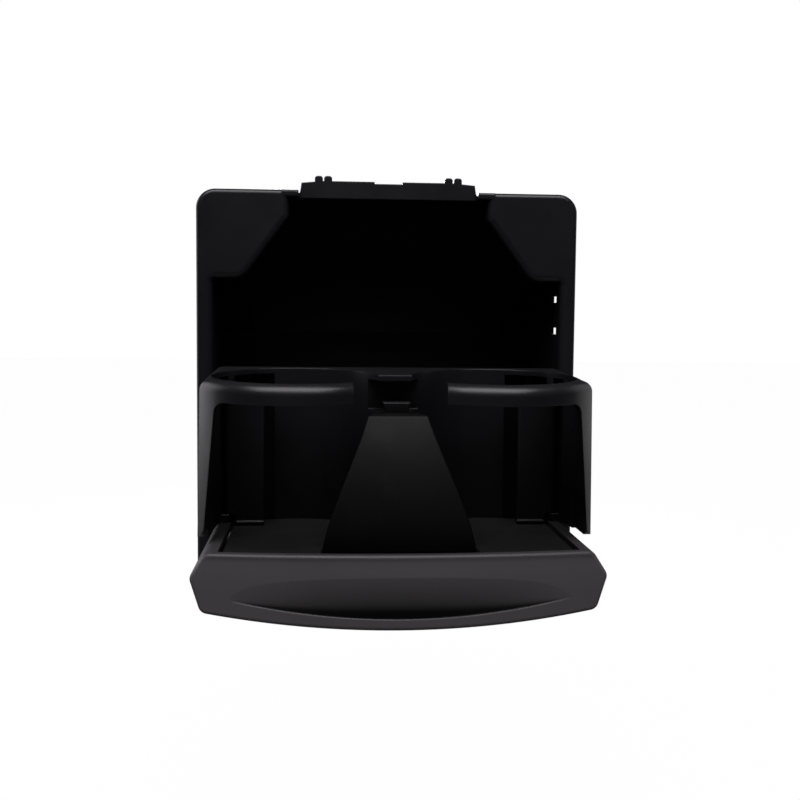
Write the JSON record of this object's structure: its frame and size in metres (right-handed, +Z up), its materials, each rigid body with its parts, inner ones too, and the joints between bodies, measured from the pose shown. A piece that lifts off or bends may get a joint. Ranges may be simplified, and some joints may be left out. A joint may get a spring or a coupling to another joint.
{
  "type": "car cup holder",
  "caption": "Fold-down car cup holder with round cup wells, a wedge divider and a bowed door front, hinged in a console bezel and pocket.",
  "frame": {"origin": "in the plane where the pocket meets the bezel, on the centreline, at the height of the tray's hinge axis", "axes": "+X to the right seen from the cabin, +Y into the console away from the viewer, +Z up"},
  "size_m": [0.19, 0.2349, 0.2092],
  "materials": {
    "black_plastic": "fine moulded grain, satin",
    "door_plastic": "soft-touch warm dark grey, satin",
    "rubber": "matte",
    "spring_steel": "dark phosphated wire",
    "zinc": "zinc plated",
    "acetal": "smooth"
  },
  "bodies": {
    "housing": {"bezel_frame": "black_plastic", "pocket_housing": "black_plastic", "bezel_screws": "zinc", "side_clip_left": "spring_steel", "side_clip_right": "spring_steel", "bump_stops": "rubber", "hinge_pin_left": "zinc", "hinge_pin_right": "zinc", "return_spring": "spring_steel", "damper_body": "acetal", "damper_screws": "zinc", "latch_body": "acetal", "latch_spring": "spring_steel", "latch_screws": "zinc"},
    "tray": {"door_tray": "black_plastic", "door_shell": "door_plastic", "cup_carrier": "black_plastic", "centre_divider": "black_plastic", "cup_mat_left": "rubber", "cup_mat_right": "rubber", "grip_pin_left": "zinc", "grip_pin_right": "zinc", "grip_spring_left": "spring_steel", "grip_spring_right": "spring_steel", "carrier_screws": "zinc", "shell_screws": "zinc"},
    "pinion": {"damper_pinion": "acetal"},
    "plunger": {"latch_plunger": "acetal"},
    "grip_left": {"cup_grip_left": "black_plastic"},
    "grip_right": {"cup_grip_right": "black_plastic"}
  },
  "joints": [
    {"name": "tray_hinge", "type": "hinge", "parent": "housing", "child": "tray", "pos_m": [0, 0.003, 0], "axis": [-1, 0, 0], "range_deg": [0, 90], "deforming": ["return_spring"]},
    {"name": "damper_pinion_spin", "type": "hinge", "parent": "housing", "child": "pinion", "pos_m": [0.0825, 0.01804, 0.00547], "axis": [-1, 0, 0], "range_deg": [-270, 0]},
    {"name": "latch_push", "type": "slide", "parent": "housing", "child": "plunger", "axis": [0, 1, 0], "range_m": [0, 0.004], "stiffness_N_per_m": 250, "springref_m": -0.004, "deforming": ["latch_spring"]},
    {"name": "grip_left_swing", "type": "hinge", "parent": "tray", "child": "grip_left", "pos_m": [-0.076, -0.0405, 0.05], "axis": [0, 0, 1], "range_deg": [0, 35], "stiffness_Nm_per_rad": 0.03, "springref_deg": -20.05, "deforming": ["grip_spring_left"]},
    {"name": "grip_right_swing", "type": "hinge", "parent": "tray", "child": "grip_right", "pos_m": [0.076, -0.0405, 0.05], "axis": [0, 0, -1], "range_deg": [0, 35], "stiffness_Nm_per_rad": 0.03, "springref_deg": -20.05, "deforming": ["grip_spring_right"]}
  ],
  "couplings": [
    {"joint": "damper_pinion_spin", "follows": "tray_hinge", "ratio": -3}
  ]
}
